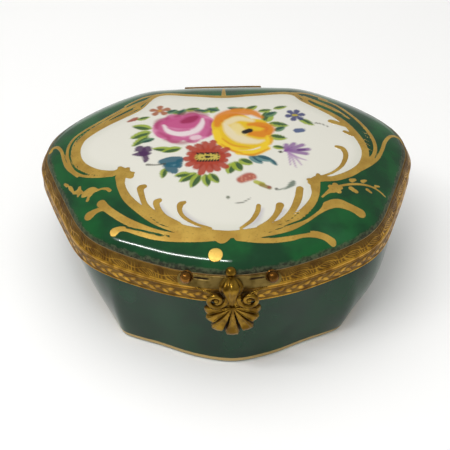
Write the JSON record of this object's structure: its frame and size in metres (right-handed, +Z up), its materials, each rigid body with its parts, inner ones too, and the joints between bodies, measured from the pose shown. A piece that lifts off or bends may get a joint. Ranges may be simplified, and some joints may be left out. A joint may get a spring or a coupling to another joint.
{
  "type": "porcelain trinket box",
  "caption": "Hinged porcelain trinket box of serpentine outline with brass bezels, a painted lid and a sprung palmette clasp.",
  "frame": {"origin": "on the table, under the middle of the whole box", "axes": "+Z up, +X to the right along the hinge, -Y towards the clasp at the front"},
  "size_m": [0.089, 0.0771, 0.0338],
  "materials": {
    "base_porcelain": "deep green gloss glaze, white glaze inside, gilt foot line",
    "lid_porcelain": "deep green gloss glaze round a white reserve painted with flowers and gilding",
    "plaster": "dry matt plaster",
    "chased_brass": "engraved, worn and darkened in the cuts",
    "plain_brass": "plain, tarnished",
    "pin_brass": "turned, reddish",
    "spring_brass": "rolled strip, grey with tarnish",
    "cast_brass": "cast and chased, dark in the hollows"
  },
  "bodies": {
    "base": {"base_bowl": "base_porcelain", "base_cement": "plaster", "lower_bezel": "chased_brass", "lower_hinge_leaf": "plain_brass", "base_knuckle_left": "plain_brass", "base_knuckle_centre": "plain_brass", "base_knuckle_right": "plain_brass", "hinge_pin": "pin_brass", "catch_stud": "pin_brass"},
    "lid": {"lid_dome": "lid_porcelain", "lid_cement": "plaster", "upper_bezel": "chased_brass", "upper_hinge_leaf": "plain_brass", "lid_knuckle_left": "plain_brass", "lid_knuckle_right": "plain_brass", "clasp_spring": "spring_brass", "rivet_left": "pin_brass", "rivet_right": "pin_brass"},
    "clasp": {"clasp_ornament": "cast_brass", "clasp_hook": "cast_brass"}
  },
  "joints": [
    {"name": "lid_hinge", "type": "hinge", "parent": "base", "child": "lid", "pos_m": [0, 0.03765, 0.0241], "axis": [-1, 0, 0], "range_deg": [0, 100]},
    {"name": "clasp_flex", "type": "hinge", "parent": "lid", "child": "clasp", "pos_m": [0, -0.0359, 0.027], "axis": [-1, 0, 0], "range_deg": [0, 8], "stiffness_Nm_per_rad": 0.05}
  ]
}
